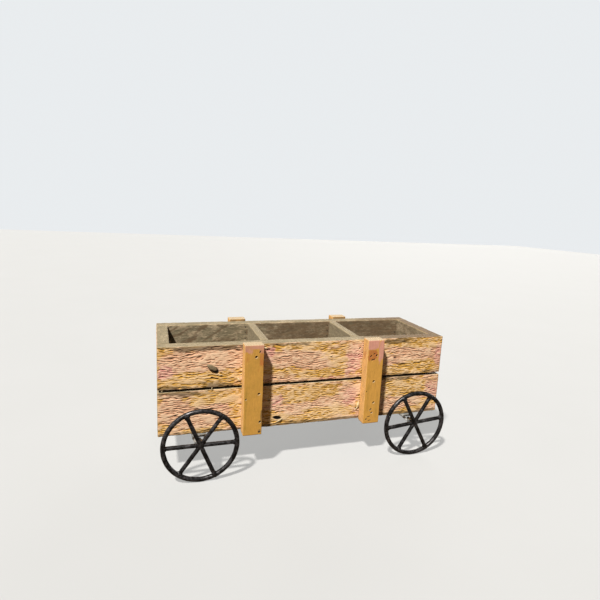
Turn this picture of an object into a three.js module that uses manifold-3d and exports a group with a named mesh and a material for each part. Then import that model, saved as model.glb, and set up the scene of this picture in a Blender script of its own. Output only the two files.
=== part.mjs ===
// A weathered planter cart: a long wooden box of two courses of boards, split in three by
// two dividers, on four small spoked wheels bent and welded from steel rod.
// Millimetres. X runs along the box, Y across it and Z up. The origin is on the ground,
// under the middle of the cart.

import * as THREE from 'three';
import { mergeVertices } from 'three/addons/utils/BufferGeometryUtils.js';
import Module from 'manifold-3d';

const wasm = await Module();
wasm.setup();

// Driving dimensions
const BOX_LENGTH = 635;
const BOX_WIDTH = 200;
const LOWER_COURSE_HEIGHT = 92;
const UPPER_COURSE_HEIGHT = 87;
const COURSE_GAP = 5;
const SIDE_THICKNESS = 27;
const END_THICKNESS = 24;
const DIVIDER_THICKNESS = 17;
const DIVIDER_X = { left: -100.5, right: 108.8 };
const FLOOR_THICKNESS = 18;
const FLOOR_DRAIN_GAP = 6;
const BATTEN_THICKNESS = 25;
const BATTEN_ABOVE_RIM = 4.5;
const BATTEN_BELOW_BOX = 2.5;
const WORN_EDGE = 2;
const JOINT_GAP = 0.3;

const WHEEL_DIAMETER = 152;
const ROD_DIAMETER = 9.5;
const WHEEL_X = 237.5;
const WHEEL_Y = 140;
const AXLE_BELOW_BOX = 5.5;
const REAR_BARS_SET_BACK = 2;
const PIN_DIAMETER = 6;
const PIN_CLEARANCE = 0.3;
const NUT_ACROSS_CORNERS = 11.5;
const NUT_LENGTH = 5;
const PIN_BEYOND_NUT = 2;

const BRACKET_WIDTH = 29;
const BRACKET_SHEET = 3;
const BRACKET_FRONT = 8;
const BRACKET_BACK = 34;
const ARM_WIDTH = 5;
const ARM_SET_BACK = 2;
const CROSS_BAR_WIDTH = 22;
const CROSS_BAR_HEIGHT = 9;
const CROSS_BAR_DEPTH = 6;
const CROSS_BAR_TO_WHEEL = 8;

// Sizes that follow from them
const WHEEL_RADIUS = WHEEL_DIAMETER / 2;
const ROD_RADIUS = ROD_DIAMETER / 2;
const HOOP_RADIUS = WHEEL_RADIUS - ROD_RADIUS;
const AXLE_HEIGHT = WHEEL_RADIUS;
const BOX_BOTTOM = AXLE_HEIGHT + AXLE_BELOW_BOX;
const BOX_HEIGHT = LOWER_COURSE_HEIGHT + COURSE_GAP + UPPER_COURSE_HEIGHT;
const BOX_TOP = BOX_BOTTOM + BOX_HEIGHT;
const INNER_WIDTH = BOX_WIDTH - 2 * SIDE_THICKNESS;
const INNER_LENGTH = BOX_LENGTH - 2 * END_THICKNESS;
const SIDE_Y = (BOX_WIDTH - SIDE_THICKNESS) / 2;
const END_X = (BOX_LENGTH - END_THICKNESS) / 2;

const VERTEX_TOLERANCE = 1e-4;

const PINE = { color: 0xc99b78, roughness: 0.9, metalness: 0 };
const OCHRE_PINE = { color: 0xc8963c, roughness: 0.85, metalness: 0 };
const GREY_PINE = { color: 0x877d64, roughness: 0.95, metalness: 0 };
const BLACK_STEEL = { color: 0x231f1d, roughness: 0.45, metalness: 0.8 };
const ZINC_STEEL = { color: 0x9b9891, roughness: 0.6, metalness: 0.7 };

const cart = new THREE.Group();

function addPiece(parent, name, geometry, finish) {
  const mesh = new THREE.Mesh(geometry, new THREE.MeshStandardMaterial(finish));
  mesh.name = name;
  parent.add(mesh);
  return mesh;
}

// A sawn board with worn edges, centred on its middle. Its thickness lies along X,
// its height along Y and its length along Z.
function wornBoard(thickness, height, length) {
  const halfT = thickness / 2 - WORN_EDGE;
  const halfH = height / 2 - WORN_EDGE;
  const section = new THREE.Shape();
  section.moveTo(-halfT, -halfH);
  section.lineTo(halfT, -halfH);
  section.lineTo(halfT, halfH);
  section.lineTo(-halfT, halfH);
  section.closePath();
  const board = new THREE.ExtrudeGeometry(section, {
    depth: length - 2 * WORN_EDGE,
    bevelThickness: WORN_EDGE,
    bevelSize: WORN_EDGE,
    bevelSegments: 1,
  });
  return board.translate(0, 0, WORN_EDGE - length / 2);
}

function boardAlongX(length, thickness, height) {
  return wornBoard(thickness, height, length).rotateY(Math.PI / 2).rotateX(Math.PI / 2);
}

function boardAlongY(length, thickness, height) {
  return wornBoard(thickness, height, length).rotateX(Math.PI / 2);
}

function toSolid(geometry) {
  const bare = geometry.index ? geometry.clone() : geometry;
  bare.deleteAttribute('normal');
  bare.deleteAttribute('uv');
  const merged = mergeVertices(bare, VERTEX_TOLERANCE);
  return new wasm.Manifold(new wasm.Mesh({
    numProp: 3,
    vertProperties: new Float32Array(merged.attributes.position.array),
    triVerts: new Uint32Array(merged.index.array),
  }));
}

function toGeometry(solid) {
  const mesh = solid.getMesh();
  const geometry = new THREE.BufferGeometry();
  geometry.setAttribute('position', new THREE.BufferAttribute(mesh.vertProperties, 3));
  geometry.setIndex(new THREE.BufferAttribute(mesh.triVerts, 1));
  return geometry;
}

// A rod or pin of the given radius along Y
function rodAlongY(radius, length, sides) {
  return new THREE.CylinderGeometry(radius, radius, length, sides);
}

// The two courses of boards. Each course has its four outer boards and two dividers.
const COURSES = [
  { course: 'lower', bottom: BOX_BOTTOM, height: LOWER_COURSE_HEIGHT },
  { course: 'upper', bottom: BOX_TOP - UPPER_COURSE_HEIGHT, height: UPPER_COURSE_HEIGHT },
];
const SIDES = [
  { side: 'front', sign: -1 },
  { side: 'back', sign: 1 },
];
const ENDS = [
  { end: 'left', sign: -1 },
  { end: 'right', sign: 1 },
];

for (const { course, bottom, height } of COURSES) {
  const middle = bottom + height / 2;
  for (const { side, sign } of SIDES) {
    const board = boardAlongX(BOX_LENGTH, SIDE_THICKNESS, height);
    addPiece(cart, `side_board_${side}_${course}`, board, PINE)
      .position.set(0, sign * SIDE_Y, middle);
  }
  const crossLength = INNER_WIDTH - 2 * JOINT_GAP;
  for (const { end, sign } of ENDS) {
    const board = boardAlongY(crossLength, END_THICKNESS, height);
    addPiece(cart, `end_board_${end}_${course}`, board, PINE)
      .position.set(sign * END_X, 0, middle);
  }
  // The lower dividers stand on the floor boards.
  const raised = course === 'lower' ? FLOOR_THICKNESS + JOINT_GAP : 0;
  const dividerHeight = height - raised;
  for (const { end } of ENDS) {
    const board = boardAlongY(crossLength, DIVIDER_THICKNESS, dividerHeight);
    addPiece(cart, `divider_${end}_${course}`, board, GREY_PINE)
      .position.set(DIVIDER_X[end], 0, bottom + raised + dividerHeight / 2);
  }
}

// Two long floor boards lie between the walls, with a gap between them to drain.
const floorWidth = (INNER_WIDTH - FLOOR_DRAIN_GAP) / 2 - JOINT_GAP;
for (const { side, sign } of SIDES) {
  const board = boardAlongX(INNER_LENGTH - 2 * JOINT_GAP, floorWidth, FLOOR_THICKNESS);
  addPiece(cart, `floor_board_${side}`, board, GREY_PINE)
    .position.set(0, sign * (FLOOR_DRAIN_GAP + floorWidth) / 2, BOX_BOTTOM + FLOOR_THICKNESS / 2);
}

// Upright battens nailed over both courses, proud of the rim and of the bottom edge.
// They were cut and nailed by hand, so no two stand quite alike.
const BATTENS = {
  front: [
    { at: 'left', x: -133, width: 39 },
    { at: 'right', x: 134.2, width: 38 },
  ],
  back: [
    { at: 'left', x: -129, width: 40 },
    { at: 'right', x: 138.2, width: 38 },
  ],
};
const battenHeight = BOX_HEIGHT + BATTEN_ABOVE_RIM + BATTEN_BELOW_BOX;
const battenMiddle = BOX_BOTTOM - BATTEN_BELOW_BOX + battenHeight / 2;
const battenY = BOX_WIDTH / 2 + JOINT_GAP + BATTEN_THICKNESS / 2;
for (const { side, sign } of SIDES) {
  for (const { at, x, width } of BATTENS[side]) {
    addPiece(cart, `batten_${side}_${at}`, wornBoard(width, BATTEN_THICKNESS, battenHeight), OCHRE_PINE)
      .position.set(x, sign * battenY, battenMiddle);
  }
}

// A wheel of rod in the XZ plane, its axis along Y and its outer side towards -Y.
// The front bar runs whole from rim to rim and the other two pass behind it.
const BARS = [
  { angle: 115, behind: -2.5 },
  { angle: 56, behind: 1.5 },
  { angle: 2, behind: REAR_BARS_SET_BACK },
];
// How far each wheel has rolled from that, in degrees
const ROLLED = { front_left: -2, front_right: 3.5, back_left: 17, back_right: -9 };
const HOOP_SEGMENTS = 72;
const ROD_SIDES = 12;
const PIN_SIDES = 16;
const HEX = 6;

function hoop(rodRadius) {
  return new THREE.TorusGeometry(HOOP_RADIUS, rodRadius, ROD_SIDES, HOOP_SEGMENTS).rotateX(Math.PI / 2);
}

function weldedBars(rolled) {
  const spaceForHoop = toSolid(hoop(ROD_RADIUS + JOINT_GAP));
  const rods = BARS.map(({ angle, behind }) => {
    const rod = new THREE.CylinderGeometry(ROD_RADIUS, ROD_RADIUS, 2 * HOOP_RADIUS, ROD_SIDES);
    rod.rotateZ(THREE.MathUtils.degToRad(angle + rolled) - Math.PI / 2).translate(0, 0, -behind);
    return toSolid(rod.rotateX(Math.PI / 2));
  });
  const star = rods.reduce((joined, rod) => joined.add(rod));
  const pieces = star.subtract(spaceForHoop).decompose();
  const byVolume = pieces.sort((a, b) => b.volume() - a.volume());
  return toGeometry(byVolume[0]);
}

// The cross bar's outer face stands this far inside the wheel's plane.
const CROSS_BAR_Y = CROSS_BAR_TO_WHEEL + CROSS_BAR_DEPTH / 2;
const PIN_LENGTH = CROSS_BAR_TO_WHEEL + CROSS_BAR_DEPTH + NUT_LENGTH + PIN_BEYOND_NUT;
const BARS_BACK = ROD_RADIUS + REAR_BARS_SET_BACK;

// The bracket of a front wheel, about the point where the axle meets the wheel's plane:
// a tab under the box, two arms that run out and in towards each other, and a cross bar
// with the hole for the axle pin.
function bracket() {
  const boxFace = WHEEL_Y - BOX_WIDTH / 2;
  const tabTop = AXLE_BELOW_BOX - JOINT_GAP;
  const tabMiddle = tabTop - BRACKET_SHEET / 2;
  const tabFront = boxFace - BRACKET_FRONT;
  const tab = new THREE.BoxGeometry(BRACKET_WIDTH, BRACKET_FRONT + BRACKET_BACK, BRACKET_SHEET);
  tab.translate(0, tabFront + (BRACKET_FRONT + BRACKET_BACK) / 2, tabMiddle);
  let solid = toSolid(tab);
  for (const { sign } of ENDS) {
    const startX = sign * (BRACKET_WIDTH - ARM_WIDTH) / 2;
    const finishX = sign * (CROSS_BAR_WIDTH - ARM_WIDTH) / 2;
    const start = new THREE.Vector3(startX, tabFront + ARM_SET_BACK, tabMiddle);
    const finish = new THREE.Vector3(finishX, CROSS_BAR_Y, 0);
    const along = new THREE.Vector3().subVectors(finish, start);
    const arm = new THREE.BoxGeometry(ARM_WIDTH, BRACKET_SHEET, along.length());
    arm.lookAt(along);
    arm.translate((start.x + finish.x) / 2, (start.y + finish.y) / 2, (start.z + finish.z) / 2);
    solid = solid.add(toSolid(arm));
  }
  const bar = new THREE.BoxGeometry(CROSS_BAR_WIDTH, CROSS_BAR_DEPTH, CROSS_BAR_HEIGHT);
  solid = solid.add(toSolid(bar.translate(0, CROSS_BAR_Y, 0)));
  const bore = rodAlongY(PIN_DIAMETER / 2 + PIN_CLEARANCE, 3 * CROSS_BAR_DEPTH, PIN_SIDES);
  return toGeometry(solid.subtract(toSolid(bore.translate(0, CROSS_BAR_Y, 0))));
}

for (const { side, sign } of SIDES) {
  for (const { end, sign: along } of ENDS) {
    const at = `${side}_${end}`;
    const corner = new THREE.Group();
    corner.position.set(along * WHEEL_X, sign * WHEEL_Y, AXLE_HEIGHT);
    corner.rotation.z = side === 'back' ? Math.PI : 0;
    cart.add(corner);
    addPiece(corner, `wheel_hoop_${at}`, hoop(ROD_RADIUS), BLACK_STEEL);
    addPiece(corner, `wheel_bars_${at}`, weldedBars(ROLLED[at]), BLACK_STEEL);
    addPiece(corner, `bracket_${at}`, bracket(), ZINC_STEEL);
    addPiece(corner, `axle_pin_${at}`, rodAlongY(PIN_DIAMETER / 2, PIN_LENGTH, PIN_SIDES), BLACK_STEEL)
      .position.y = BARS_BACK + JOINT_GAP + PIN_LENGTH / 2;
    const nut = toSolid(rodAlongY(NUT_ACROSS_CORNERS / 2, NUT_LENGTH, HEX));
    const thread = toSolid(rodAlongY(PIN_DIAMETER / 2 + JOINT_GAP, 2 * NUT_LENGTH, PIN_SIDES));
    addPiece(corner, `axle_nut_${at}`, toGeometry(nut.subtract(thread)), ZINC_STEEL)
      .position.y = CROSS_BAR_TO_WHEEL + CROSS_BAR_DEPTH + JOINT_GAP + NUT_LENGTH / 2;
  }
}

export default cart;
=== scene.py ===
"""The looks of a weathered planter cart: rough boards, smooth battens and wheels of steel rod.

Each piece is a surface worked out with numpy in metres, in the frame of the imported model.
Every wooden piece carries numbers for each point of its surface, such as how ochre, how dirty
or how deep in the grain it lies, and its finish turns those numbers into colour.
"""

import logging
import math
from dataclasses import dataclass, field
from enum import Enum

import bpy
import numpy as np
from mathutils import Matrix, Vector


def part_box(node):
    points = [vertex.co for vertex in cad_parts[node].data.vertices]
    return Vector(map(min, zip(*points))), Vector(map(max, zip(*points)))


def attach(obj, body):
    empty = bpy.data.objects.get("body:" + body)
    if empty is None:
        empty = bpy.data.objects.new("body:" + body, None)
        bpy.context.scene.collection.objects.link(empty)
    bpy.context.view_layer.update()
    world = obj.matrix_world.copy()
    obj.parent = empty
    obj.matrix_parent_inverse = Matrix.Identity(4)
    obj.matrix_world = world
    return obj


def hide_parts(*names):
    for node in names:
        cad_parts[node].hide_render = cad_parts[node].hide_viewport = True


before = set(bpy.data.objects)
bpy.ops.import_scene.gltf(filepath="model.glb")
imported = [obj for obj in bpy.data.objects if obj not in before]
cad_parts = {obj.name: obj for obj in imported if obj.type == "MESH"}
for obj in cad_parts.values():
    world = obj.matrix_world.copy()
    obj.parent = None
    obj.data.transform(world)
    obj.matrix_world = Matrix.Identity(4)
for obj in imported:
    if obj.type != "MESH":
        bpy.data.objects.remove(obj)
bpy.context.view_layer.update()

MM = 0.001
ACROSS = np.array([0.0, 1.0, 0.0])
log = logging.getLogger("cart")

Array = np.ndarray
Triple = tuple[float, float, float]
Material = bpy.types.Material
Value = "Field | float | tuple"


class Side(Enum):
    """The long sides of the cart, with the sign of Y that each lies on."""

    FRONT = -1
    BACK = 1


class End(Enum):
    """The ends of the cart, with the sign of X that each lies on."""

    LEFT = -1
    RIGHT = 1


class Cut(Enum):
    """How a board was sawn and has worn, which sets its relief."""

    ROUGH = "rough"
    WORN = "worn"
    PLANED = "planed"


def srgb(red: float, green: float, blue: float) -> tuple[float, ...]:
    """Turn a colour as seen, 0 to 255, into the linear colour with full alpha that a shader takes."""
    seen = np.array([red, green, blue]) / 255
    return (*np.where(seen <= 0.04045, seen / 12.92, ((seen + 0.055) / 1.055) ** 2.4).tolist(), 1.0)


def smooth_step(low: float, high: float, value: Array) -> Array:
    """Rise smoothly from 0 at low to 1 at high: t squared times 3 minus 2 t."""
    t = np.clip((value - low) / (high - low), 0, 1)
    return t * t * (3 - 2 * t)


def stacked(*parts: "Array | float") -> Array:
    """Join numbers into points, after spreading them out to one shape."""
    return np.stack(np.broadcast_arrays(*parts), -1)


def whole_turn(count: int) -> Array:
    """Spread angles evenly round a whole turn."""
    return np.linspace(0, 2 * np.pi, count, endpoint=False)


def heading(angle: "Array | float") -> Array:
    """Point along X, turned up by an angle."""
    return stacked(np.cos(angle), 0, np.sin(angle))


def lattice(cell: Array, seed: int) -> Array:
    """Give each whole-numbered cell a fixed random value from 0 to 1.

    The three cell numbers are multiplied by large primes, joined bit by bit and scrambled.

    Args:
        cell: Whole numbers, three to a point.
        seed: Picks one random pattern.

    Returns:
        One value for each point.
    """
    n = cell.astype(np.int64) * [73856093, 19349663, 83492791]
    mixed = (n[..., 0] ^ n[..., 1] ^ n[..., 2] ^ (seed * 2654435761)) & 0x7FFFFFFF
    for multiplier in (1103515245, 1664525, 22695477):
        mixed = ((mixed ^ (mixed >> 15)) * multiplier + 12345) & 0x7FFFFFFF
    return (mixed >> 7) / float(0x7FFFFFFF >> 7)


def value_noise(point: Array, seed: int) -> Array:
    """Smooth noise: the lattice values of the eight corners, blended across each cell.

    Args:
        point: Points in cells, three numbers each.
        seed: Picks one random pattern.

    Returns:
        A value from 0 to 1 for each point.
    """
    cell = np.floor(point)
    t = smooth_step(0, 1, point - cell)
    total = np.zeros(point.shape[:-1])
    for corner in np.ndindex(2, 2, 2):
        step = np.array(corner)
        weight = np.prod(np.where(step == 1, t, 1 - t), axis=-1)
        total += weight * lattice(cell + step, seed)
    return total


def shingled(level: Array, pitch: float) -> Array:
    """Turn a level into ridges: in each pitch a steep climb from 0 to the lip at 1, then a gentle fall."""
    u = level / pitch % 1
    return smooth_step(0.0, 0.26, u) * (1 - 0.85 * smooth_step(0.26, 1.1, u))


def layered_noise(point: Array, seed: int, layers: int = 3) -> Array:
    """Add layers of noise, each half as strong and twice as fine as the last.

    Args:
        point: Points in cells of the coarsest layer.
        seed: Picks one random pattern.
        layers: How many layers are added.

    Returns:
        A value from 0 to 1 for each point.
    """
    shares = 0.5 ** np.arange(layers)
    total = sum(share * value_noise(point * 2**n, seed + 31 * n) for n, share in enumerate(shares))
    return total / shares.sum()


@dataclass
class Surface:
    """Points, faces and numbers for each point of one mesh, before it becomes an object."""

    points: Array
    faces: list[Array]
    marks: dict[str, Array] = field(default_factory=dict)

    def moved(self, place: Array) -> "Surface":
        """Return the surface moved by a vector."""
        return Surface(self.points + np.asarray(place), self.faces, self.marks)

    def turned(self, columns: Array) -> "Surface":
        """Return the surface with its axes laid along the three given columns."""
        faces = self.faces if np.linalg.det(columns) > 0 else [f[:, ::-1] for f in self.faces]
        return Surface(self.points @ np.asarray(columns).T, faces, self.marks)

    @staticmethod
    def joined(parts: list["Surface"]) -> "Surface":
        """Join several surfaces into one that holds them all.

        Args:
            parts: The surfaces, all with the same marks.

        Returns:
            One surface.
        """
        starts = np.cumsum([0] + [len(p.points) for p in parts[:-1]])
        faces = [f + start for p, start in zip(parts, starts) for f in p.faces]
        marks = {k: np.concatenate([p.marks[k] for p in parts]) for k in parts[0].marks}
        return Surface(np.concatenate([p.points for p in parts]), faces, marks)

    def built(self, name: str, material: Material, body: str, slot: str) -> bpy.types.Object:
        """Make the object, dress it and let it ride.

        Args:
            name: The piece's name.
            material: Its finish.
            body: The body that it moves with.
            slot: The record's material slot. Not used.

        Returns:
            The new object, at the origin with its place in its mesh.
        """
        mesh = bpy.data.meshes.new(name)
        corners = np.concatenate([f.ravel() for f in self.faces])
        sizes = np.concatenate([np.full(len(f), f.shape[1]) for f in self.faces])
        mesh.vertices.add(len(self.points))
        mesh.vertices.foreach_set("co", self.points.astype(np.float32).ravel())
        mesh.loops.add(len(corners))
        mesh.loops.foreach_set("vertex_index", corners.astype(np.int32))
        mesh.polygons.add(len(sizes))
        mesh.polygons.foreach_set("loop_start", (np.cumsum(sizes) - sizes).astype(np.int32))
        mesh.polygons.foreach_set("use_smooth", np.ones(len(sizes), bool))
        mesh.update(calc_edges=True)
        for mark, values in self.marks.items():
            layer = mesh.attributes.new(mark, "FLOAT", "POINT")
            layer.data.foreach_set("value", np.clip(values, 0, 1).astype(np.float32))
        mesh.validate()
        mesh.materials.append(material)
        piece = placed(name, mesh)
        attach(piece, body)
        log.info("%s: %d faces", name, len(sizes))
        return piece


def placed(name: str, data: bpy.types.ID) -> bpy.types.Object:
    """Add an object to the scene around its data."""
    added = bpy.data.objects.new(name, data)
    bpy.context.scene.collection.objects.link(added)
    return added


def grid_faces(rings: int, around: int, wrap: bool = False) -> Array:
    """Number the four corners of each face of a grid of closed rings.

    Args:
        rings: How many rings the grid has.
        around: How many points each ring has.
        wrap: Whether the last ring joins the first.

    Returns:
        One row of four point numbers for each face.
    """
    i = np.arange(rings if wrap else rings - 1)[:, None]
    j = np.arange(around)[None, :]
    after, beside = (i + 1) % rings, (j + 1) % around
    near, far = i * around, after * around
    return stacked(near + j, near + beside, far + beside, far + j).reshape(-1, 4)


def closed_tube(rings: Array, marks: dict[str, Array]) -> Surface:
    """Close a grid of rings into one solid with a pole at each end.

    Args:
        rings: Points, ring by ring, running forwards with each ring counter-clockwise.
        marks: Numbers for each point of the grid.

    Returns:
        The surface. Each pole is the middle of the ring beside it.
    """
    count, around = rings.shape[:2]
    poles = np.stack([rings[0].mean(0), rings[-1].mean(0)])
    j = np.arange(around)
    beside = (j + 1) % around
    first, last = count * around, count * around + 1
    start_fan = stacked(beside, j, first)
    base = (count - 1) * around
    end_fan = stacked(base + j, base + beside, last)
    full = {k: np.concatenate([v.ravel(), [v[0].mean(), v[-1].mean()]]) for k, v in marks.items()}
    points = np.concatenate([rings.reshape(-1, 3), poles])
    return Surface(points, [grid_faces(count, around), start_fan, end_fan], full)


def stations(length: float, step: float, fine: tuple = ()) -> Array:
    """Spread points over a length, with more of them where something small is cut.

    Args:
        length: The whole length, centred on 0.
        step: The usual spacing.
        fine: Centres and half widths of the stretches with closer points.

    Returns:
        The places, in rising order, with both ends among them.
    """
    places = [np.linspace(-length / 2, length / 2, max(2, round(length / step) + 1))]
    places += [c + np.linspace(-r, r, 7) for c, r in fine]
    return np.unique(np.round(np.clip(np.concatenate(places), -length / 2, length / 2), 5))


class Field:
    """A number, colour or vector that varies over a surface: one output of a shader's node."""

    def __init__(self, graph: "Graph", socket: bpy.types.NodeSocket) -> None:
        """Wrap one output socket of a graph."""
        self.graph = graph
        self.socket = socket

    def _math(self, operation: str, *values: Value) -> "Field":
        """Add one Math node over the given values."""
        inputs = dict(enumerate(values))
        return self.graph.node("ShaderNodeMath", {"operation": operation}, inputs, 0)

    def __add__(self, other: Value) -> "Field":
        """Add."""
        return self._math("ADD", self, other)

    __radd__ = __add__

    def __mul__(self, other: Value) -> "Field":
        """Multiply."""
        return self._math("MULTIPLY", self, other)

    __rmul__ = __mul__

    def __sub__(self, other: Value) -> "Field":
        """Subtract."""
        return self._math("SUBTRACT", self, other)

    def __rsub__(self, other: Value) -> "Field":
        """Subtract from a number."""
        return self._math("SUBTRACT", other, self)

    def between(self, low: float, high: float) -> "Field":
        """Rise smoothly from 0 at low to 1 at high."""
        settings = {"interpolation_type": "SMOOTHSTEP", "clamp": True}
        inputs = {"Value": self, "From Min": low, "From Max": high}
        return self.graph.node("ShaderNodeMapRange", settings, inputs, "Result")


class Graph:
    """The nodes of one material or world, around its main shader."""

    def __init__(self, owner: "Material | bpy.types.World", shader: str) -> None:
        """Take the nodes of a new material or world, which start with its main shader."""
        owner.use_nodes = True
        self.owner = owner
        self.tree = owner.node_tree
        self.shader = self.tree.nodes[shader]

    def node(self, kind: str, settings: dict, inputs: dict, result: str | int) -> Field:
        """Add any node.

        Args:
            kind: The node's type.
            settings: Its own settings, which are set first.
            inputs: Values or links, by socket name or number.
            result: The output that is wanted, by name or number.

        Returns:
            The output as a field.
        """
        added = self.tree.nodes.new(kind)
        for key, value in settings.items():
            setattr(added, key, value)
        for key, value in inputs.items():
            self.feed(added.inputs[key], value)
        return Field(self, added.outputs[result])

    def feed(self, socket: bpy.types.NodeSocket, value: Value) -> None:
        """Link a field to a socket, or set a plain value on it."""
        if isinstance(value, Field):
            self.tree.links.new(value.socket, socket)
        else:
            socket.default_value = value

    def mark(self, name: str) -> Field:
        """Read a number that each point of the mesh carries."""
        return self.node("ShaderNodeAttribute", {"attribute_name": name}, {}, "Fac")

    def place(self, scale: "Array | float") -> Field:
        """Read object coordinates, stretched by a scale, the same for all axes or one for each."""
        inputs = {"Vector": self.node("ShaderNodeTexCoord", {}, {}, "Object"), "Scale": np.full(3, scale)}
        return self.node("ShaderNodeMapping", {}, inputs, "Vector")

    def noise(self, scale: "Array | float", detail: float = 3.0, rough: float = 0.55,
              twist: float = 0.0) -> Field:
        """Read noise with so many cells to a metre."""
        inputs = {"Vector": self.place(scale), "Scale": 1.0, "Detail": detail, "Roughness": rough,
                  "Distortion": twist}
        return self.node("ShaderNodeTexNoise", {}, inputs, "Fac")

    def mix(self, below: Value, above: Value, share: Value, blend: str = "MIX") -> Field:
        """Lay one colour over another by a share."""
        settings = {"data_type": "RGBA", "blend_type": blend, "clamp_factor": True}
        return self.node("ShaderNodeMix", settings, {0: share, 6: below, 7: above}, 2)

    def stain(self, below: Value, tint: Triple, mark: str, unsettled: Field,
              low: float, high: float, share: float = 1.0) -> Field:
        """Lay a tint where a mark, unsettled by noise, rises from low to high."""
        return self.mix(below, srgb(*tint), (self.mark(mark) + unsettled).between(low, high) * share)

    def bump(self, height: Field, distance: float, strength: float) -> Field:
        """Turn a height field into a normal."""
        inputs = {"Height": height, "Distance": distance, "Strength": strength}
        return self.node("ShaderNodeBump", {}, inputs, "Normal")

    def finish(self, **sockets: Value) -> "Material | bpy.types.World":
        """Feed the main shader and return its owner.

        Args:
            **sockets: Socket names with underscores for spaces, and what feeds each.

        Returns:
            The finished material or world.
        """
        for key, value in sockets.items():
            self.feed(self.shader.inputs[key.replace("_", " ")], value)
        return self.owner


def material_graph(name: str) -> Graph:
    """Start a material that has only its main shader and its output."""
    return Graph(bpy.data.materials.new(name), "Principled BSDF")


@dataclass(frozen=True)
class WoodFinish:
    """Weathered bare softwood. Its colours are as seen in daylight, 0 to 255."""

    name: str
    grain: str
    base: Triple = (198, 150, 116)
    ochre: Triple = (190, 142, 50)
    rose: Triple = (194, 132, 118)
    # Painted highlight: the colour laid on the ridge tops, where light catches them.
    pale: Triple = (246, 218, 182)
    # Painted shade in the furrows under the ridges; the same colour also darkens the end-grain rings, which
    # is their own colour.
    furrow_shade_and_ring: Triple = (46, 28, 16)
    grey: Triple = (121, 109, 83)
    soil_and_shade: Triple = (86, 70, 46)
    cream: Triple = (236, 212, 164)
    olive: Triple = (146, 112, 40)
    umber: Triple = (100, 80, 55)
    streak: float = 0.3
    blotched: float = 0.9
    stretch: float = 5.0

    def material(self) -> Material:
        """Lay the colours over each other by the marks, then add fibres along the grain."""
        g = material_graph(self.name)
        across = np.full(3, self.stretch)
        across["XYZ".index(self.grain)] = 1.0
        fibre = g.noise(45 * across, 4.0, 0.62, 0.3)
        thread = g.noise(190 * across, 3.0, 0.6)
        blotch = g.noise(42, 5.0, 0.65)
        wander = self.blotched * (blotch - 0.5) + 0.7 * (fibre - 0.5)
        colour = g.stain(srgb(*self.base), self.ochre, "ochre", wander, 0.2, 0.8)
        colour = g.stain(colour, self.rose, "rose", wander, 0.25, 0.9)
        colour = g.stain(colour, self.olive, "olive", wander, 0.15, 1.0, 0.8)
        colour = g.stain(colour, self.grey, "grey", 0.6 * wander, 0.25, 0.7)
        colour = g.mix(colour, srgb(*self.cream), g.mark("cream"))
        # Painted highlight: pale on the ridge tops.
        colour = g.stain(colour, self.pale, "relief", 0.5 * (thread - 0.5), 0.62, 1.0, 0.6)
        colour = g.stain(colour, self.umber, "umber", wander, 0.2, 0.9)
        # This tint is dirt on the boards and painted shade on the back battens' inner faces.
        colour = g.stain(colour, self.soil_and_shade, "soil_and_shade", 1.3 * wander, 0.3, 0.8, 0.75)
        # Painted shade: dark in the furrows under the ridges.
        colour = g.stain(colour, self.furrow_shade_and_ring, "furrow", 0.35 * (fibre - 0.5), 0.3, 0.75, 0.85)
        rings = g.node("ShaderNodeTexWave", {"wave_type": "RINGS", "rings_direction": self.grain}, {
            "Vector": g.place(1), "Scale": 78.0, "Distortion": 2.5, "Detail": 2.0, "Detail Scale": 0.6,
        }, "Fac")
        colour = g.mix(colour, srgb(*self.furrow_shade_and_ring), g.mark("end") * (0.1 + 0.38 * rings))
        streaked = self.streak * (1.0 + 1.4 * g.mark("grey"))
        shade = streaked * (0.8 * (thread - 0.5) + 1.6 * (fibre - 0.5)) + 1.0
        tone = g.node("ShaderNodeCombineColor", {}, {0: shade, 1: shade, 2: shade}, 0)
        colour = g.mix(colour, tone, 1.0, "MULTIPLY")
        # Painted shade: near black inside holes, nicks and pits.
        colour = g.mix(colour, srgb(26, 18, 12), g.mark("hole"))
        rough = 0.86 + 0.12 * (fibre - 0.5)
        normal = g.bump(fibre * 0.6 + thread * 0.4, 0.6 * MM, 0.7)
        return g.finish(Base_Color=colour, Roughness=rough, Normal=normal)


@dataclass(frozen=True)
class SteelFinish:
    """Worn steel, dark or zinc coated, with rust where it has worn through."""

    name: str
    base: Triple
    worn: Triple
    rust: Triple
    rusted: float
    metal: float
    rough: float

    def material(self) -> Material:
        """Mottle the coat, break it with rust spots and roughen it where it rusts."""
        g = material_graph(self.name)
        mottle = g.noise(90, 4.0, 0.6)
        spots = g.noise(260, 3.0, 0.6, 0.3)
        coat = g.mix(srgb(*self.base), srgb(*self.worn), (mottle * 0.7 + spots * 0.3).between(0.42, 0.72))
        rust = (mottle * 0.45 + spots * 0.55).between(1 - self.rusted, 1.12 - self.rusted)
        colour = g.mix(coat, srgb(*self.rust), rust)
        rough = self.rough + 0.35 * rust + 0.25 * (spots - 0.5)
        normal = g.bump(mottle * 0.5 + spots * 0.5, 0.5 * MM, 0.5)
        return g.finish(Base_Color=colour, Metallic=self.metal * (1 - rust), Roughness=rough, Normal=normal)


@dataclass(frozen=True)
class Patch:
    """A patch of one tint on a board, by its middle and half sizes in mm.

    It fades out raggedly by its bleed, and lies on one face or on all.
    """

    tint: str
    x: float
    z: float
    half_x: float
    half_z: float
    strength: float = 1.0
    bleed: float = 1.0
    face: str = "all"


@dataclass(frozen=True)
class Hole:
    """A nail hole or nick in one face of a board, in mm, with how pale the lip below it is: the dark of the
    hole is painted shade and the pale lip a painted highlight.
    """

    x: float
    z: float
    radius: float
    depth: float
    face: str = "out"
    stretch: float = 1.0
    turn: float = 0.0
    lip: float = 0.8


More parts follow.
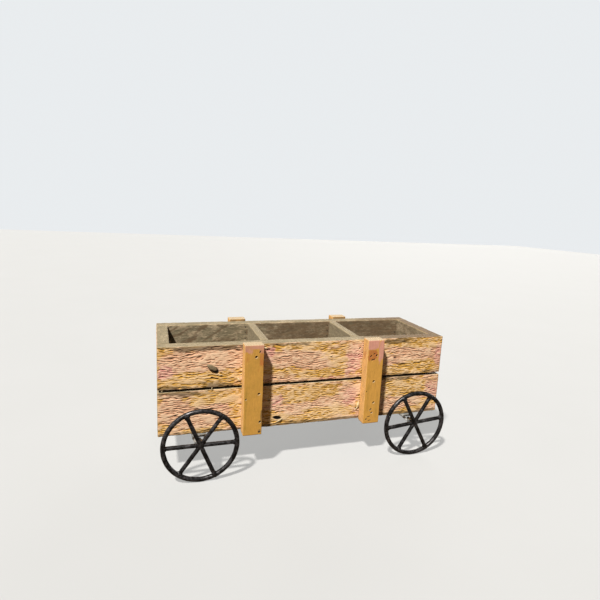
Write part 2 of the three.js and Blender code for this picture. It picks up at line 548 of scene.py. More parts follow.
TINTS = ("ochre", "rose", "grey", "soil_and_shade", "cream", "olive", "umber", "relief", "furrow", "hole", "end")
CLEARED = {"base": ("ochre", "rose", "soil_and_shade"), "ochre": ("rose",), "rose": ("ochre",)}
RIDGES = 4.8 * MM
FINE_RIDGES = 2.7 * MM
FLUSH = 0.85
RELIEF = {Cut.ROUGH: 2.9 * MM, Cut.WORN: 0.8 * MM, Cut.PLANED: 0.25 * MM}
# How strongly each cut shows its painted highlight on ridges and painted shade in furrows.
CONTRAST = {Cut.ROUGH: 1.0, Cut.WORN: 0.55, Cut.PLANED: 0.12}


def even_marks(shape: tuple[int, ...], **marks: float) -> dict[str, Array]:
    """Give every point of a small piece the same marks, and 0 for those that aren't named."""
    return {name: np.full(shape, marks.get(name, 0.0)) for name in TINTS}


def raise_mark(marks: dict[str, Array], name: str, amount: Array) -> None:
    """Raise one mark to an amount wherever it is less."""
    marks[name] = np.maximum(marks[name], amount)


@dataclass
class Board:
    """One board of the cart, in the place of its CAD node.

    Its surface is a box whose edges are rounded by wear: each point of a box is pulled to the
    box's core, shrunk by the wear radius, and pushed out again by that radius. It is then
    pushed in or out by the relief of its grain.
    """

    node: str
    grain: str
    outward: Triple
    finish: Material
    slot: str
    outer_cut: Cut = Cut.ROUGH
    inner_cut: Cut = Cut.WORN
    step_along: float = 1.5 * MM
    step_across: float = 0.8 * MM
    inner_step: float = 2.5 * MM
    wear: float = 1.1 * MM
    end_tint: str = "grey"
    mottle: float = 1.0
    curl: float = 0.0
    seed: int = 1
    patches: tuple[Patch, ...] = ()
    holes: tuple[Hole, ...] = ()
    tints: dict[str, float] = field(default_factory=dict)

    def __post_init__(self) -> None:
        """Take the board's place and its axes from its CAD node."""
        low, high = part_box(self.node)
        self.low, self.high = np.array(low), np.array(high)
        self.middle = (self.low + self.high) / 2
        size = self.high - self.low
        along = np.eye(3)["XYZ".index(self.grain)]
        out = np.array(self.outward, float)
        up = np.abs(np.cross(along, out))
        self.axes = np.stack([along, out, up], -1)
        self.length, self.thick, self.height = (float(np.abs(size @ a)) for a in (along, out, up))
        self.shift = np.array([self.seed * 7.3, self.seed * 3.1, self.seed * 5.7])

    def noise(self, point: Array, cells: Triple, pick: int, layers: int = 3) -> Array:
        """Read noise of this board's own, with cells of the given sizes in mm."""
        return layered_noise(point / (np.array(cells) * MM) + self.shift, self.seed + pick, layers)

    def section(self) -> Array:
        """Go round the board's section, counter-clockwise from the foot of its outer face.

        Returns:
            Rows of thickness and height.
        """
        fine = {face: self.close_stretches(1, face) for face in ("out", "in")}
        half_t, half_h = self.thick / 2, self.height / 2
        outer = stations(self.height, self.step_across, fine["out"])
        inner = stations(self.height, self.inner_step, fine["in"])[::-1]
        edge = stations(self.thick, 2 * MM)
        sides = ((half_t, outer), (edge[::-1], half_h), (-half_t, inner), (edge, -half_h))
        return np.concatenate([stacked(*side)[:-1] for side in sides])

    def close_stretches(self, way: int, *faces: str) -> tuple[tuple[float, float], ...]:
        """Say where deep holes need closer points, along (0) or up (1), by middle and half width."""
        deep = [hole for hole in self.holes if hole.depth >= 1.5 and hole.face in faces]
        return tuple((self.local(hole.x, hole.z)[way], 1.4 * hole.radius * MM) for hole in deep)

    def local(self, x: float, z: float) -> tuple[float, float]:
        """Turn a place on the outer face, in mm, into metres along and up the board."""
        place = np.array([x * MM, x * MM, z * MM]) - self.middle
        return float(place @ self.axes[:, 0]), float(place @ np.abs(self.axes[:, 2]))

    def surface(self) -> Surface:
        """Work out the worn, ridged surface and its marks."""
        along = stations(self.length, self.step_along, self.close_stretches(0, "out", "in"))
        section = self.section()
        shrink = np.array([0.12, 0.28, 0.44, 0.6, 0.74, 0.86, 0.95])
        places = np.pad(along, len(shrink), "edge")[:, None]
        share = np.concatenate([shrink, np.ones(len(along)), shrink[::-1]])[:, None]
        box = stacked(places, share * section[:, 0], share * section[:, 1])
        half = np.array([self.length, self.thick, self.height]) / 2
        return self.carved(box, half)

    def carved(self, box: Array, half: Array) -> Surface:
        """Wear the edges of a box and cut its grain.

        Args:
            box: Points on a sharp box, ring by ring.
            half: Its half sizes.

        Returns:
            The board's surface in place.
        """
        ragged = self.noise(box, (9, 9, 9), 0, 1)
        radius = (self.wear * (0.6 + 1.1 * ragged))[..., None]
        core = np.clip(box, radius - half, half - radius)
        normal = box - core
        normal /= np.maximum(np.linalg.norm(normal, axis=-1, keepdims=True), 1e-9)
        point = core + radius * normal
        end, face, edge = np.moveaxis(smooth_step(0.5, 0.9, np.abs(normal)), -1, 0)
        out = normal[..., 1] > 0
        facing = {"out": face * out, "in": face * ~out, "edge": edge, "end": end}
        relief, furrow = self.relief(point, end)
        depth, contrast = (table[self.inner_cut] * (1 - facing["out"]) + table[self.outer_cut] * facing["out"]
                           for table in (RELIEF, CONTRAST))
        push = depth * (relief - FLUSH)
        marks = self.tinted(point, facing, half)
        # The relief mark carries the painted highlight on ridge tops and the furrow mark the painted shade in
        # furrows; both are weaker on the edges.
        contrast = contrast * (1 - 0.45 * edge)
        marks["relief"] = 0.6 + (relief - 0.6) * contrast
        marks["furrow"] = furrow * contrast
        for hole in self.holes:
            push = self.pierced(hole, point, facing[hole.face], push, marks)
        point = point + push[..., None] * normal
        solid = closed_tube(point, marks)
        return solid.turned(self.axes).moved(self.middle)

    def pierced(self, hole: Hole, point: Array, here: Array, push: Array, marks: dict[str, Array]) -> Array:
        """Sink one hole, darken it with painted shade and turn up a lip below it, pale with a painted
        highlight.

        Args:
            hole: The hole.
            point: Points of the board.
            here: How much each point faces the way of the hole's face.
            push: How far each point is pushed out so far.
            marks: The board's marks, which are changed.

        Returns:
            How far each point is pushed out, with the hole in it.
        """
        a, c = self.local(hole.x, hole.z)
        da, dc = point[..., 0] - a, point[..., 2] - c
        if self.grain == "Z":
            da, dc = dc, da
        radius = hole.radius * MM
        turn = math.radians(hole.turn)
        lengthwise = (da * math.cos(turn) + dc * math.sin(turn)) / hole.stretch
        away = np.hypot(lengthwise, dc * math.cos(turn) - da * math.sin(turn)) / radius
        pit = (1 - smooth_step(0.55, 1.15, away)) * here
        lip = hole.lip * smooth_step(0.75, 1.1, away) * (1 - smooth_step(1.1, 1.6, away)) * here
        # Painted shade: the hole goes dark.
        raise_mark(marks, "hole", (1 - smooth_step(0.75, 1.05, away)) * here)
        # Painted highlight: pale on the lower side of the lip.
        raise_mark(marks, "cream", lip * smooth_step(0.0, 0.6, (0.5 * da - dc) / radius))
        return push * (1 - pit) - hole.depth * MM * pit + 0.25 * MM * lip

    def relief(self, point: Array, end: Array) -> tuple[Array, Array]:
        """Short ridges along the grain, on lines that wander and rise and fall gently.

        Args:
            point: Points of the board, along, outwards and up.
            end: How much each point faces along the grain.

        Returns:
            The height, from 0 in the deepest furrow to 1 on the highest ridge, and how far
            each point lies in a furrow.
        """
        wander = self.noise(point, (90, 60, 40), 5, 2) - 0.5
        wobble = self.noise(point, (13, 9, 8), 6, 2) - 0.5
        level = point[..., 2] + 18 * MM * wander + 10 * MM * wobble
        breaks = self.noise(point, (8, 8, 4), 7, 1)
        specks = self.noise(point, (5, 4, 3), 11, 1)
        bulge = self.noise(point, (18, 9, 7), 13, 1)
        coarse = (1 - shingled(level, RIDGES)) * smooth_step(0.3, 0.65, breaks)
        fine = (1 - shingled(level + 3 * MM * specks, FINE_RIDGES)) * smooth_step(0.35, 0.7, specks)
        eroded = self.noise(point, (45, 30, 18), 19, 2)
        rough = smooth_step(0.25, 0.5, eroded) * (1 - 0.6 * end)
        cut = (0.5 * coarse + 0.3 * fine + 0.2 * bulge) * (1 - end) + 0.3 * end
        deep = np.maximum(smooth_step(0.45, 1.0, coarse), 0.8 * smooth_step(0.5, 1.0, fine))
        share = 0.35 + 0.65 * rough
        return 1 - cut * share, deep * (1 - end) * share

    def tinted(self, point: Array, facing: dict[str, Array], half: Array) -> dict[str, Array]:
        """Say how ochre, rose, grey or dirty each point is.

        Args:
            point: Points of the board.
            facing: How much each point faces outwards, inwards, up or down, and along.
            half: The board's half sizes.

        Returns:
            The marks that the finish reads.
        """
        cloud = self.noise(point, (75, 40, 20), 21)
        bloom = self.noise(point, (60, 40, 26), 23)
        speck = self.noise(point, (12, 9, 6), 25)
        marks = even_marks(cloud.shape, **self.tints)
        marks["ochre"] += self.mottle * (0.15 + 0.85 * smooth_step(0.36, 0.66, cloud))
        marks["rose"] += 0.6 * self.mottle * smooth_step(0.55, 0.75, bloom)
        for patch in self.patches:
            a, c = self.local(patch.x, patch.z)
            sizes = (patch.half_x, patch.half_z) if self.grain == "X" else (patch.half_z, patch.half_x)
            reach = np.abs((point[..., [0, 2]] - [a, c]) / (np.array(sizes) * MM))
            away = (reach ** 4).sum(-1) ** 0.25 + patch.bleed * (1.1 * (speck - 0.5) + 0.6 * (cloud - 0.5))
            inside = patch.strength * (1 - smooth_step(1 - 0.45 * patch.bleed, 1 + 0.3 * patch.bleed, away))
            inside = inside * facing.get(patch.face, 1.0)
            for tint in CLEARED.get(patch.tint, ()):
                marks[tint] = marks[tint] * (1 - inside)
            if patch.tint in marks:
                raise_mark(marks, patch.tint, inside)
        place = point @ self.axes.T + self.middle
        stained = smooth_step(0.06, 0.24, place[..., 0] - 0.4 * place[..., 1])
        raise_mark(marks, "umber", 0.85 * facing["edge"] * self.mottle * stained)
        if self.curl:
            along, up = point[..., 0], point[..., 2]
            leaning = stacked(along + 0.6 * up, up - 0.6 * along, 0)
            curly = smooth_step(0.42, 0.68, self.noise(leaning, (45, 5, 1), 27, 2))
            near = self.curl * smooth_step(0.1, 0.14, -place[..., 0]) * facing["in"]
            raise_mark(marks, "umber", near * curly)
        if self.grain == "Y":
            seam = 1 - smooth_step(0.5 * MM, 2.5 * MM, half[0] - np.abs(point[..., 0]))
            raise_mark(marks, "soil_and_shade", seam * facing["edge"])
        rim = 1 - smooth_step(0, 9 * MM, half[2] - np.abs(point[..., 2]) + 6 * MM * (speck - 0.5))
        marks["soil_and_shade"] += 0.7 * rim * facing["out"] * smooth_step(0.35, 0.6, cloud) * self.mottle
        raise_mark(marks, "grey", np.maximum(facing["in"], facing["edge"]))
        corner = speck * (1 - facing["out"]) * (1 - facing["in"]) * (1 - facing["edge"]) * (1 - facing["end"])
        raise_mark(marks, "cream", 0.7 * corner)
        marks["grey"] *= 1 - facing["end"]
        raise_mark(marks, self.end_tint, facing["end"])
        marks["end"] = facing["end"]
        return marks

    def build(self) -> bpy.types.Object:
        """Make the board and let it stand for its CAD node."""
        piece = self.surface().built(f"{self.node}_wood", self.finish, "root", self.slot)
        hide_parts(self.node)
        return piece


FRONT_UPPER = (
    Patch("base", -235, 228, 85, 20), Patch("rose", -304, 212, 15, 15), Patch("ochre", -230, 192, 82, 13),
    Patch("soil_and_shade", -225, 260, 95, 6, 0.9, 1.5, "out"), Patch("soil_and_shade", -215, 187, 50, 8, 0.6, 1.6),
    Patch("soil_and_shade", -300, 182, 20, 5, 0.8), Patch("ochre", -25, 254, 85, 11), Patch("base", -35, 226, 75, 20),
    Patch("soil_and_shade", -55, 262, 45, 4, 0.8, 1.5, "out"), Patch("ochre", 28, 196, 60, 12),
    Patch("rose", 96, 214, 20, 38, 0.8), Patch("ochre", 240, 254, 80, 11),
    Patch("soil_and_shade", 208, 258, 34, 6, 0.8, 1.5, "out"), Patch("base", 250, 226, 75, 16),
    Patch("ochre", 250, 192, 70, 14), Patch("rose", 310, 225, 10, 30, 0.7),
    Patch("rose", -96, 240, 12, 16, 0.9), Patch("base", 0, 214, 60, 12),
    Patch("soil_and_shade", 300, 184, 30, 5, 0.5, 1.5),
)
FRONT_LOWER = (
    Patch("base", -290, 135, 38, 26), Patch("ochre", -200, 158, 60, 15), Patch("ochre", -165, 122, 14, 30),
    Patch("base", -235, 112, 60, 20), Patch("ochre", 0, 154, 66, 16), Patch("rose", -76, 134, 14, 20, 0.9),
    Patch("base", -10, 120, 66, 14), Patch("ochre", 40, 104, 66, 12), Patch("rose", 92, 134, 20, 22, 0.8),
    Patch("ochre", 236, 146, 56, 24), Patch("rose", 302, 136, 20, 22, 0.7), Patch("base", 210, 112, 60, 18),
    Patch("soil_and_shade", -270, 168, 44, 7, 0.7, 1.6), Patch("soil_and_shade", 0, 84, 330, 4.5, 0.9, 1.6),
    Patch("soil_and_shade", 205, 168, 40, 5, 0.5, 1.6),
)
INSIDE = (
    Patch("umber", 125, 225, 240, 70, 0.7, 0.6, "in"), Patch("umber", -200, 200, 110, 40, 0.45, 1.5, "in"),
)


def nail(x: float, z: float, radius: float = 2.1, turn: float = 40, stretch: float = 1.2) -> Hole:
    """Make the hole that a nail has left."""
    return Hole(x, z, radius, 3, stretch=stretch, turn=turn)


def nail_row(x: float, lean: float) -> tuple[Hole, ...]:
    """Set four nail holes up a batten, each a little to the side of the last."""
    return tuple(nail(x + lean * (n % 2), z) for n, z in enumerate((104.0, 140.0, 196.0, 244.0)))


LEFT_HOLES = (
    nail(-129.0, 245.6, 2.3), nail(-121.6, 167.6, 2.2, 30), nail(-118.0, 106.9, 2.2),
    Hole(-148.0, 157.4, 1.4, 1.2, "out", 1.4, 40, 1), Hole(-118.8, 84.9, 2.4, 0.4, lip=0),
    Hole(-121.5, 256.0, 1.3, 0.5, "out", 2.5, 55, 0),
)
RIGHT_HOLES = (
    nail(136.6, 235.8), nail(134.0, 177.0, stretch=1.4), nail(137.2, 127.6, turn=30),
    Hole(134.6, 104.2, 1.8, 2.5, stretch=1.4),
    Hole(123.2, 234.6, 1.6, 1.5, "out", 1.8, 60, 0), Hole(129.0, 226.5, 1.2, 1.0, "out", 4.5, 14, 0.2),
    Hole(131.0, 239.5, 1.1, 0.8, "out", 2.5, 20, 0), Hole(119.0, 154.0, 1.0, 0.8, lip=0),
    Hole(131.5, 112.0, 1.2, 0.6, "out", 3.0, 50, 1), Hole(122.5, 89.0, 1.4, 0.8, "out", 1.8, 30, 0.2),
    Hole(131.0, 86.0, 0.9, 0.5, "out", 5.0, 10, 0.2), Hole(128.0, 95.0, 0.8, 0.4, "out", 6.0, 12, 0),
)
FRONT_HOLES = {
    # The first upper hole is a dark pit below and right of the loose knot: a painted shadow of the knot.
    "upper": (Hole(-207.5, 214.5, 5.6, 3, "out", 1.9, -32, 0), Hole(107.7, 246.0, 2, 2, "out", 1.3, 50)),
    "lower": (Hole(-74.0, 99.5, 4.8, 4, "out", 2.1, -12, 0.3), Hole(107.7, 106.8, 2, 2)),
}
# Dark dents in three columns on the inner face of the back upper board, by its joints: painted shadows of
# rough edges.
BACK_JOINT_SHADOWS = tuple(
    Hole(x, z, 1.7, 0.8, "in", lip=0) for x, z in (
        (-114, 229), (-114.5, 243), (-114, 256), (97, 227), (97.5, 241), (97, 255), (291, 230), (291, 245))
)


@dataclass
class Box:
    """The box of the cart: its side, end, divider and floor boards and its battens."""

    def finishes(self) -> None:
        """Make the wood finishes, one for each direction of the grain."""
        self.outer = {g: WoodFinish(f"rough_pine_{g}", g).material() for g in "XY"}
        self.inner = {g: WoodFinish(
            f"grey_pine_{g}", g, base=(128, 112, 84), ochre=(130, 112, 78), rose=(112, 94, 74),
            pale=(170, 156, 124), grey=(130, 116, 90), umber=(106, 89, 62), blotched=0.35, stretch=12,
        ).material() for g in "XY"}
        self.batten = WoodFinish(
            "ochre_pine_Z", "Z", base=(200, 147, 62), ochre=(182, 136, 50), rose=(204, 144, 124),
            olive=(152, 118, 38), grey=(208, 160, 96), furrow_shade_and_ring=(92, 58, 24), pale=(226, 178, 96),
            cream=(192, 172, 138), umber=(176, 104, 46), streak=0.5, stretch=14,
        ).material()

    def side_boards(self) -> None:
        """Build the four long boards. The front pair has the patches that the photo shows."""
        front = {"upper": FRONT_UPPER, "lower": FRONT_LOWER}
        joint_shadows = {"upper": BACK_JOINT_SHADOWS, "lower": ()}
        for side in Side:
            for number, course in enumerate(("lower", "upper")):
                seen = side is Side.FRONT
                Board(
                    f"side_board_{side.name.lower()}_{course}", "X", (0, side.value, 0), self.outer["X"],
                    "pine_outer", seed=11 + 7 * number + 3 * (side.value + 1),
                    patches=front[course] if seen else INSIDE,
                    holes=FRONT_HOLES[course] if seen else joint_shadows[course],
                    step_along=(1.8 if seen else 2.4) * MM, step_across=(0.62 if seen else 1.05) * MM,
                    inner_step=(3.0 if seen else 1.7) * MM, curl=0.0 if seen else 0.7,
                ).build()

    def cross_boards(self) -> None:
        """Build the end boards and the dividers."""
        for end in End:
            for number, course in enumerate(("lower", "upper")):
                name = f"{end.name.lower()}_{course}"
                seed = 41 + 5 * number + 9 * (end.value + 1)
                Board(f"end_board_{name}", "Y", (end.value, 0, 0), self.outer["Y"], "pine_outer",
                      seed=seed, step_across=1.0 * MM, step_along=1.8 * MM,
                      patches=(Patch("umber", 0, 200, 140, 140, 0.5, 0.8, "in"),)).build()
                Board(f"divider_{name}", "Y", (end.value, 0, 0), self.inner["Y"], "pine_inner",
                      outer_cut=Cut.WORN, seed=seed + 3, step_across=2.2 * MM, step_along=2.6 * MM,
                      tints={"grey": 1.0}, wear=1.2 * MM).build()

    def floor_boards(self) -> None:
        """Build the two floor boards, which lie flat with their worn side down."""
        for side in Side:
            Board(f"floor_board_{side.name.lower()}", "X", (0, 0, -1), self.inner["X"], "pine_inner",
                  outer_cut=Cut.WORN, seed=71 + side.value, step_across=2.6 * MM, step_along=4 * MM,
                  inner_step=3.5 * MM, tints={"grey": 1.0}).build()

    def battens(self) -> None:
        """Build the four smooth battens with their nail holes."""
        holes = {
            (Side.FRONT, End.LEFT): LEFT_HOLES, (Side.FRONT, End.RIGHT): RIGHT_HOLES,
            (Side.BACK, End.LEFT): nail_row(-131, 4), (Side.BACK, End.RIGHT): nail_row(136, -3),
        }
        tops = {
            End.LEFT: (
                Patch("rose", -146, 262, 11, 10, 1, 1.6), Patch("rose", -131, 268, 26, 7.5, 1, 1.4),
                Patch("rose", -118, 261, 6, 11, 0.75, 0.8), Patch("umber", -118.5, 240, 6, 24, 0.6, 1.2),
                Patch("umber", -147, 246, 6, 11, 0.5, 1.2), Patch("olive", -147.5, 140, 2.5, 60, 0.7, 1.2),
                Patch("olive", -141, 205, 5, 50, 0.5, 1.8), Patch("olive", -125, 150, 7, 45, 0.5, 1.8),
                Patch("soil_and_shade", -115.5, 116, 1.6, 14, 0.75, 1), Patch("soil_and_shade", -119.5, 87, 5.5, 5, 0.65, 0.8),
            ),
            End.RIGHT: (
                Patch("rose", 128, 262, 16, 13, 1, 0.6), Patch("rose", 147.5, 246, 7, 27, 1, 0.7),
                Patch("umber", 127, 235, 12, 14, 0.8, 0.8), Patch("olive", 123, 150, 4, 60, 0.5, 1.6),
                Patch("olive", 145, 120, 4, 50, 0.5, 1.6), Patch("soil_and_shade", 126, 92, 10, 9, 0.4, 1.8),
            ),
        }
        # A dark brown tint across the top of the back battens' faces that look into the box: painted shade.
        inner_face_shade = (Patch("soil_and_shade", 0, 268, 400, 12, 0.7, 0.6, "in"),)
        for side in Side:
            for end in End:
                Board(
                    f"batten_{side.name.lower()}_{end.name.lower()}", "Z", (0, side.value, 0), self.batten,
                    "pine_batten", outer_cut=Cut.PLANED, inner_cut=Cut.PLANED, step_along=1.2 * MM,
                    step_across=0.85 * MM, inner_step=4 * MM, wear=0.9 * MM,
                    seed=91 + 2 * end.value + side.value,
                    holes=holes[side, end], end_tint="cream", mottle=0.15,
                    patches=tops[end] if side is Side.FRONT else inner_face_shade,
                    tints={"olive": 0.42 if end is End.LEFT else 0.22},
                ).build()

    def build(self) -> None:
        """Make every board of the box."""
        self.finishes()
        self.side_boards()
        self.cross_boards()
        self.floor_boards()
        self.battens()


@dataclass
class Wheel:
    """One rod wheel: its hoop, its three welded bars with their beads, its pin and its nut.

    The hoop is a round section carried along a circle, and a bar is one carried along a line.
    Both sections swell and shrink a little by noise, as hand-worked rod does.
    """

    side: Side
    end: End
    steel: Material
    zinc: Material
    rod: float = 4.75 * MM
    angles: Triple = (115, 56, 2)
    rolled: float = 0.0
    behind: Triple = (-2.5 * MM, 1.5 * MM, 2.0 * MM)
    around: int = 20
    hoop_rings: int = 220
    bar_rings: int = 70
    overrun: float = 1.0 * MM
    inset: float = 2.5 * MM
    bead: float = 6.2 * MM
    slimness: float = 0.88

    def __post_init__(self) -> None:
        """Take the hub's place and the hoop's size from the CAD node."""
        self.at = f"{self.side.name.lower()}_{self.end.name.lower()}"
        low, high = (np.array(c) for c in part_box(f"wheel_hoop_{self.at}"))
        self.hub = (low + high) / 2
        self.radius = (high[0] - low[0]) / 2 - self.rod
        self.seed = 131 + 5 * self.side.value + 11 * self.end.value
        turn = -self.side.value
        self.axes = np.array([[turn, 0, 0], [0, turn, 0], [0, 0, 1.0]])

    def lumps(self, point: Array, depth: float) -> Array:
        """Hammered unevenness of a rod, in metres, from noise with 7 mm cells."""
        return depth * (layered_noise(point / (7 * MM) + self.seed, self.seed, 2) - 0.5)

    def swept(self, centre: Array, sideways: Array, forward: Array, radius: "Array | float") -> Array:
        """Carry a round section along a path.

        Args:
            centre: Points along the path.
            sideways: A unit vector across the path, for each point or for all.
            forward: A unit vector across both.
            radius: The section's radius, for each point or for all.

        Returns:
            Rings of points: centre plus radius times cosine sideways plus sine forward.
        """
        t = whole_turn(self.around)[:, None]
        ring = np.cos(t) * sideways[..., None, :] + np.sin(t) * forward[..., None, :]
        flat = centre[:, None] + np.reshape(radius, (-1, 1, 1)) * ring
        return flat + self.lumps(flat, 0.7 * MM)[..., None] * ring

    def hoop(self) -> Surface:
        """The bent rod: sections carried along a circle that is a little uneven."""
        out = heading(whole_turn(self.hoop_rings))
        rings = self.swept(self.radius * out, out, ACROSS, self.rod)
        return Surface(rings.reshape(-1, 3), [grid_faces(len(out), self.around, True)[:, ::-1]])

    def bar(self, angle: float, behind: float) -> Surface:
        """One straight bar from rim to rim, rounded over at its ends."""
        line = heading(math.radians(angle))
        reach = self.radius + self.overrun
        s = np.linspace(-reach, reach, self.bar_rings)
        radius = self.rod * np.sqrt(np.clip(1 - (np.abs(s) / (reach * 1.004)) ** 60, 0.02, 1))
        centre = s[:, None] * line + behind * ACROSS
        rings = self.swept(centre, np.cross(line, ACROSS), ACROSS, radius * self.slimness)
        return closed_tube(rings[:, ::-1], {})

    def weld(self, centre: Array, size: float) -> Surface:
        """A weld bead: a ball with lumps, flattened towards the wheel's plane."""
        v = np.linspace(0.12, np.pi - 0.12, 12)[:, None]
        u = whole_turn(18)
        ball = stacked(np.sin(v) * np.cos(u), np.sin(v) * np.sin(u), -np.cos(v))
        bumps = value_noise(ball * 1.7 + centre / (5 * MM), self.seed + 3)
        rings = centre + ball * np.array([1, 0.82, 1]) * (size * (0.85 + 0.35 * bumps))[..., None]
        return closed_tube(rings, {})

    def build(self) -> None:
        """Make the wheel's pieces in place of their CAD nodes."""
        body = f"wheel_{self.at}"
        hoop = self.hoop().turned(self.axes).moved(self.hub)
        piece = hoop.built(f"wheel_hoop_{self.at}_rod", self.steel, body, "black_steel")
        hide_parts(f"wheel_hoop_{self.at}")
        angles = [angle + self.rolled for angle in self.angles]
        bars = [self.bar(a, b) for a, b in zip(angles, self.behind)]
        for angle, behind in zip(angles, self.behind):
            tip = (self.radius - self.inset) * heading(math.radians(angle))
            bars += [self.weld(sign * tip + 0.6 * behind * ACROSS, self.bead) for sign in (-1, 1)]
        joined = Surface.joined(bars).turned(self.axes).moved(self.hub)
        piece = joined.built(f"wheel_bars_{self.at}_rods", self.steel, body, "black_steel")
        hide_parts(f"wheel_bars_{self.at}")
        for node, finish in ((f"axle_pin_{self.at}", self.steel), (f"axle_nut_{self.at}", self.zinc)):
            dress(node, finish)


def dress(node: str, finish: Material) -> None:
    """Give a CAD node that stays a finish of its own."""
    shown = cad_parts[node]
    shown.data.materials.clear()
    shown.data.materials.append(finish)


ROLLED = {
    (Side.FRONT, End.LEFT): -2.0, (Side.FRONT, End.RIGHT): 3.5,
    (Side.BACK, End.LEFT): 17.0, (Side.BACK, End.RIGHT): -9.0,
}


@dataclass
class RunningGear:
    """The four wheels and the brackets that carry them."""

    def build(self) -> None:
        """Make the steel finishes, the wheels and the brackets."""
        steel = SteelFinish("black_rod", (20, 18, 17), (86, 84, 86), (88, 52, 34),
                            rusted=0.4, metal=0.6, rough=0.36).material()
        zinc = SteelFinish("old_zinc", (138, 140, 138), (182, 182, 178), (104, 80, 60),
                           rusted=0.34, metal=0.5, rough=0.55).material()
        for side in Side:
            for end in End:
                Wheel(side, end, steel, zinc, rolled=ROLLED[side, end]).build()
                dress(f"bracket_{side.name.lower()}_{end.name.lower()}", zinc)
                log.info("wheel and bracket %s %s", side.name.lower(), end.name.lower())


@dataclass
class Knot:
    """The loose knot that stands proud of the upper front board, tilted in its hole."""

    finish: Material
    x: float = -213 * MM
    z: float = 220.5 * MM
    half_long: float = 11.0 * MM
    half_short: float = 4.6 * MM
    proud: float = 4.5 * MM
    tilt: float = math.radians(-30)

    def build(self) -> None:
        """Make the knot: an oval of rings that fall away to its rim, its face a flat dome."""
        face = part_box("side_board_front_upper")[0][1]
        t = whole_turn(48)[:, None]
        reach = np.array([0.12, 0.3, 0.5, 0.7, 0.86, 0.96, 1.0, 1.0, 0.9])[:, None, None]
        lift = np.array([1.0, 1.0, 0.98, 0.95, 0.9, 0.75, 0.45, -0.6, -0.8])[:, None, None]
        line, across = heading(self.tilt), heading(self.tilt + math.pi / 2)
        ring = self.half_long * np.cos(t) * line + self.half_short * np.sin(t) * across
        points = np.array([self.x, face, self.z]) + reach * ring - self.proud * lift * ACROSS
        rough = value_noise(points / (3 * MM), 203) - 0.5
        points += 0.5 * MM * rough[..., None]
        marks = even_marks(points.shape[:2], relief=0.5, grey=1.0, umber=0.6)
        closed_tube(points[::-1], marks).built("loose_knot", self.finish, "root", "pine_inner")


@dataclass
class Sliver:
    """A torn fibre that stands out of the wood: a flat blade that swells and runs out to a point."""

    x: float
    z: float
    length: float
    angle: float
    width: float
    face: float = -100.0
    lift: float = 1.5

    def surface(self) -> Surface:
        """Carry a flat oval along a line that bows outwards by a half sine."""
        s = np.linspace(0, 1, 16)[:, None, None]
        t = whole_turn(10)[:, None]
        turn = math.radians(self.angle)
        line, across = heading(turn), heading(turn + math.pi / 2)
        bow = np.sin(np.pi * s)
        swell = self.width * (0.12 + bow ** 0.6) / 2
        centre = np.array([self.x, self.face, self.z]) + (s - 0.5) * self.length * line
        centre = centre - self.lift * bow * (0.5 + 0.5 * s) * ACROSS
        points = (centre + swell * (np.cos(t) * across - 0.45 * np.sin(t) * ACROSS)) * MM
        return closed_tube(points, even_marks(points.shape[:2], grey=1.0, cream=0.6))


SLIVERS = (
    Sliver(112.4, 113.0, 17, 80, 5.5), Sliver(-69.0, 94.5, 16, 30, 3.4),
    Sliver(109.0, 106.0, 9, 60, 3.0), Sliver(-158.3, 191.5, 11, -52, 3.4),
    Sliver(-104.2, 255.8, 9, -20, 3.0), Sliver(170.3, 132.2, 7, -35, 2.4), Sliver(-213, 177, 4.5, 60, 1.4),
    Sliver(-309, 177.4, 4, 40, 1.2), Sliver(-196, 204, 8, 12, 1.6), Sliver(40, 232, 9, 10, 1.6),
)


def torn_fibres(finish: Material) -> None:
    """Stand the torn fibres on the front boards."""
    torn = Surface.joined([sliver.surface() for sliver in SLIVERS])
    torn.built("torn_fibres", finish, "root", "pine_outer")


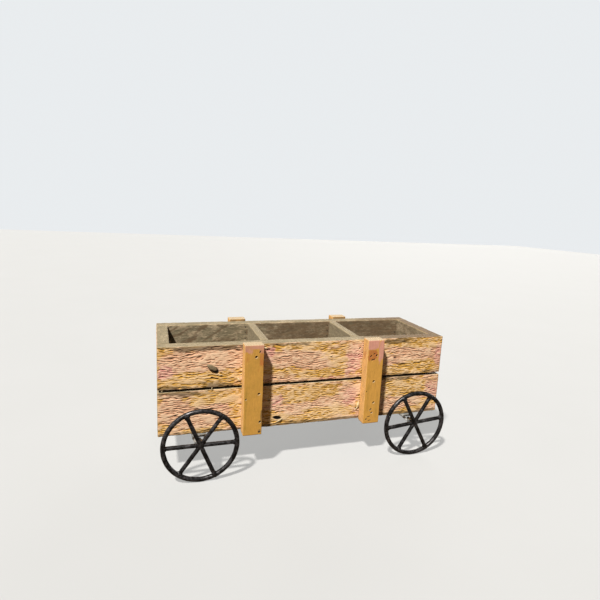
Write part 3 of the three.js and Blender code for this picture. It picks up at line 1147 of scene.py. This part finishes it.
@dataclass
class Stage:
    """The pale floor, the soft lights and the camera of the photograph."""

    focal: float = 451.7
    frame_px: float = 600
    sensor: float = 36.0
    place: Triple = (-0.3177, -0.9667, 0.5250)
    yaw: float = math.radians(18.0)
    pitch: float = math.radians(10.56)
    roll: float = math.radians(2.79)
    travel: Triple = (0.404, 0.389, -0.828)
    key: float = 6.8
    softness: float = math.radians(4)
    fill_travel: Triple = (-0.55, -0.75, -0.12)
    fill: float = 2.2
    fill_softness: float = math.radians(40)
    ambient: float = 0.05
    backdrop: float = 0.86
    glow: float = 0.4
    gleam: float = 0.4
    floor_half: float = 9.0

    def camera(self) -> None:
        """Stand the camera where the photograph was taken from."""
        lens = bpy.data.cameras.new("camera")
        lens.sensor_width = self.sensor
        lens.lens = self.focal / self.frame_px * self.sensor
        lens.clip_start = 0.01
        view = placed("camera", lens)
        turn = Matrix.Rotation(-self.yaw, 4, "Z") @ Matrix.Rotation(math.pi / 2 - self.pitch, 4, "X")
        turn = turn @ Matrix.Rotation(self.roll, 4, "Z")
        view.matrix_world = Matrix.Translation(self.place) @ turn
        bpy.context.scene.camera = view

    def floor(self) -> None:
        """Lay a wide, faintly uneven floor, which glows a little to the camera so that shadows stay soft."""
        far = self.floor_half
        mesh = bpy.data.meshes.new("floor")
        mesh.from_pydata([(-far, -far, 0), (far, -far, 0), (far, far, 0), (-far, far, 0)], [], [(0, 1, 2, 3)])
        g = material_graph("pale_floor")
        cloud = g.noise(3)
        pale = g.mix(srgb(122, 122, 120), srgb(128, 128, 127), cloud)
        seen = g.node("ShaderNodeLightPath", {}, {}, "Is Camera Ray")
        mesh.materials.append(g.finish(
            Base_Color=g.mix(srgb(96, 84, 70), pale, seen),
            Emission_Color=g.mix((0, 0, 0, 1), (1, 1, 0.98, 1), seen),
            Emission_Strength=self.glow, Roughness=0.9 + 0.05 * cloud,
        ))
        floor = placed("floor", mesh)

    def light(self, name: str, travel: tuple, energy: float, softness: float) -> None:
        """Shine one wide light.

        Args:
            name: The light's name.
            travel: The way its light travels.
            energy: Its strength.
            softness: How wide it stands in the sky, in radians.
        """
        lamp = bpy.data.lights.new(name, "SUN")
        lamp.energy = energy
        lamp.angle = softness
        lamp.color = (1.0, 0.97, 0.93)
        placed(name, lamp).rotation_euler = Vector(travel).to_track_quat("-Z", "Y").to_euler()

    def surroundings(self) -> None:
        """Surround the cart with an even pale light, a little brighter where the camera sees it."""
        g = Graph(bpy.data.worlds.new("surroundings"), "Background")
        seen = g.node("ShaderNodeLightPath", {}, {}, "Is Camera Ray")
        glossy = g.node("ShaderNodeLightPath", {}, {}, "Is Glossy Ray")
        strength = seen * (self.backdrop - self.ambient) + self.ambient + glossy * self.gleam
        bpy.context.scene.world = g.finish(Color=(0.95, 0.98, 1.0, 1.0), Strength=strength)

    def build(self) -> None:
        """Make the camera, the floor, the lights and the pale surroundings."""
        self.camera()
        self.floor()
        self.light("key", self.travel, self.key, self.softness)
        self.light("fill", self.fill_travel, self.fill, self.fill_softness)
        self.surroundings()
        bpy.context.scene.view_settings.view_transform = "Standard"


def main() -> None:
    """Build the stage, the box, the running gear and the small pieces in turn."""
    logging.basicConfig(level=logging.INFO, format="%(name)s: %(message)s")
    Stage().build()
    box = Box()
    box.build()
    log.info("box done")
    RunningGear().build()
    Knot(box.inner["X"]).build()
    torn_fibres(box.outer["X"])
    log.info("knot and torn fibres done")


if __name__ == "__main__":
    main()
